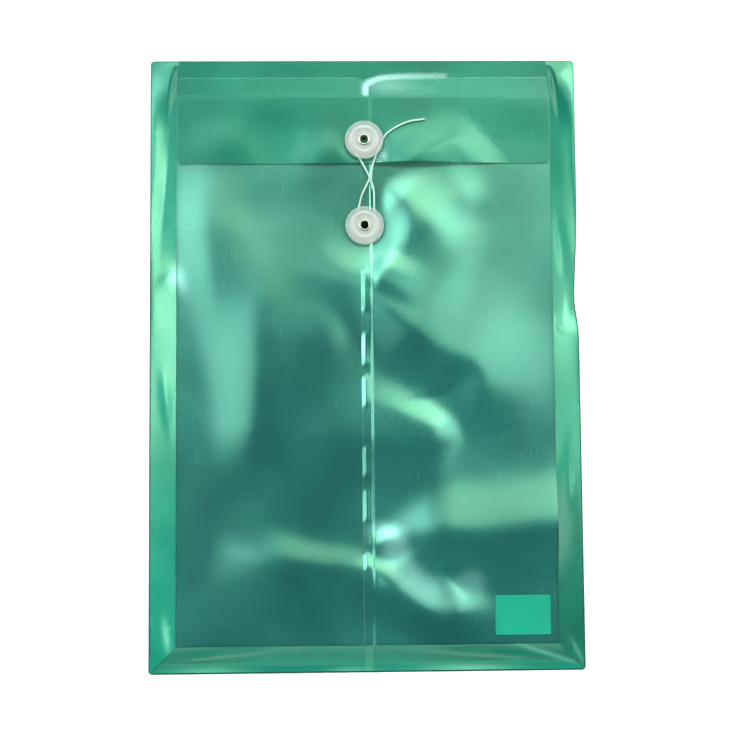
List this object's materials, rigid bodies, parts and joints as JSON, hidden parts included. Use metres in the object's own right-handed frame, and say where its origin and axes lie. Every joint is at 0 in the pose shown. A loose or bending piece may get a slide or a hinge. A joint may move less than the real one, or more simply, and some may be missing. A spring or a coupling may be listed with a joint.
{
  "type": "tie file folder",
  "caption": "Translucent film document pouch with a gusseted body, a fold-over flap and a string-and-button tie closure.",
  "frame": {"origin": "centre of the back panel's underside, on the surface the folder lies on", "axes": "+X to the right and +Y up the page towards the top fold, as seen from the front; +Z out of the front"},
  "size_m": [0.24, 0.342, 0.0153],
  "materials": {
    "back_film": "translucent green polypropylene film",
    "front_film": "translucent green polypropylene film",
    "gusset_film": "translucent green polypropylene film, creased",
    "flap_film": "translucent green polypropylene film",
    "frosted_disc": "frosted translucent moulding",
    "nickel": "bright plated",
    "clear_washer": "frosted translucent moulding",
    "white_string": "twisted white cord",
    "label_film": "plain matt label"
  },
  "bodies": {
    "pouch": {"back_panel": "back_film", "front_left_panel": "front_film", "front_right_panel": "front_film", "front_left_lip": "front_film", "front_right_lip": "front_film", "left_gusset": "gusset_film", "right_gusset": "gusset_film", "bottom_gusset": "gusset_film", "bottom_hem": "gusset_film", "lower_eyelet": "nickel", "lower_eyelet_washer": "clear_washer", "blank_label": "label_film"},
    "flap_spine": {"flap_spine": "flap_film"},
    "flap": {"flap_panel": "flap_film", "upper_eyelet": "nickel", "upper_eyelet_washer": "clear_washer", "tie_string": "white_string", "string_knot": "white_string"},
    "upper_button": {"upper_button": "frosted_disc"},
    "lower_button": {"lower_button": "frosted_disc"}
  },
  "joints": [
    {"name": "flap_open", "type": "hinge", "parent": "pouch", "child": "flap_spine", "pos_m": [0, 0.1706, 0.00075], "axis": [-1, 0, 0], "range_deg": [0, 147], "deforming": ["tie_string", "string_knot"]},
    {"name": "flap_crease", "type": "hinge", "parent": "flap_spine", "child": "flap", "pos_m": [0, 0.1482, 0.0115], "axis": [-1, 0, 0], "range_deg": [0, 26]},
    {"name": "upper_button_turn", "type": "hinge", "parent": "flap", "child": "upper_button", "pos_m": [0, 0.122, 0.01325], "axis": [0, 0, 1], "continuous": true},
    {"name": "lower_button_turn", "type": "hinge", "parent": "pouch", "child": "lower_button", "pos_m": [0, 0.0744, 0.0118], "axis": [0, 0, 1], "continuous": true}
  ],
  "couplings": [
    {"joint": "flap_crease", "follows": "flap_open", "ratio": 0.174}
  ]
}
